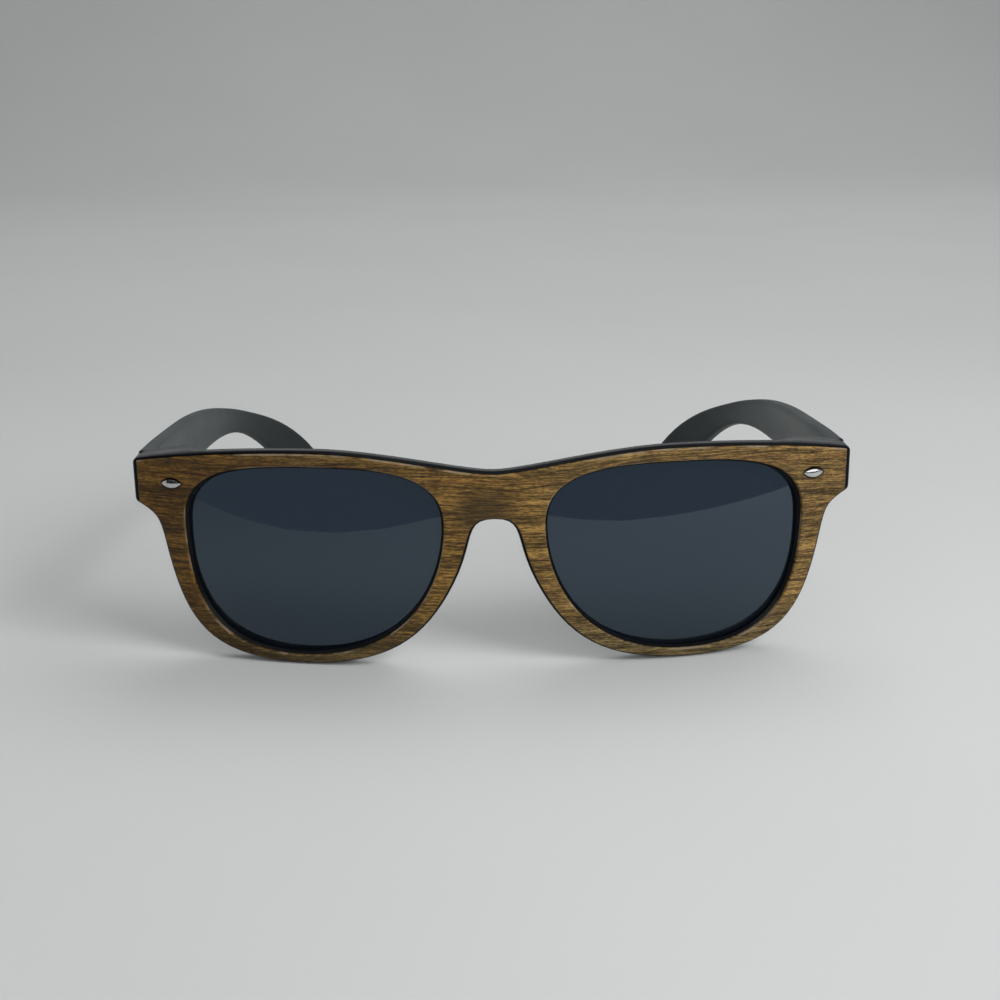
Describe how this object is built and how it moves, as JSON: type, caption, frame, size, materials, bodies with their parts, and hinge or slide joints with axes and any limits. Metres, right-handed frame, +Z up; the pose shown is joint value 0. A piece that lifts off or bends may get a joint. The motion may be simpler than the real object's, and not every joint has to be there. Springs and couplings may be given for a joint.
{
  "type": "sunglasses",
  "caption": "Sunglasses: a black moulded front faced with wood veneer holds dark curved lenses, and curved black temples fold in on steel pin hinges.",
  "frame": {"origin": "centre of the base of the box around the open glasses: the rims' low points and the temple tips rest on the plane Z = 0", "axes": "+X to the right of a viewer who faces the lenses, -Y out of the front of the lenses, +Z up; left and right in the node names are that viewer's"},
  "size_m": [0.1474, 0.1392, 0.0452],
  "materials": {
    "front_plastic": "satin black moulding",
    "wood": "thin brown veneer with fine dark level grain, satin oil",
    "lens": "polished dark grey tint, almost opaque",
    "chrome": "polished",
    "hinge_steel": "satin",
    "screw_steel": "turned",
    "temple_plastic": "matt soft black"
  },
  "bodies": {
    "front": {"front_frame": "front_plastic", "wood_veneer": "wood", "left_lens": "lens", "right_lens": "lens", "left_rivet": "chrome", "right_rivet": "chrome", "left_front_hinge": "hinge_steel", "right_front_hinge": "hinge_steel", "left_hinge_screw": "screw_steel", "right_hinge_screw": "screw_steel"},
    "left_temple": {"left_temple": "temple_plastic", "left_temple_hinge": "hinge_steel", "left_front_stud": "screw_steel", "left_rear_stud": "screw_steel"},
    "right_temple": {"right_temple": "temple_plastic", "right_temple_hinge": "hinge_steel", "right_front_stud": "screw_steel", "right_rear_stud": "screw_steel"}
  },
  "joints": [
    {"name": "left_temple_fold", "type": "hinge", "parent": "front", "child": "left_temple", "pos_m": [-0.0678, -0.04915, 0.03724], "axis": [0, 0, -1], "range_deg": [0, 76]},
    {"name": "right_temple_fold", "type": "hinge", "parent": "front", "child": "right_temple", "pos_m": [0.0678, -0.04915, 0.03724], "axis": [0, 0, 1], "range_deg": [0, 83]}
  ]
}
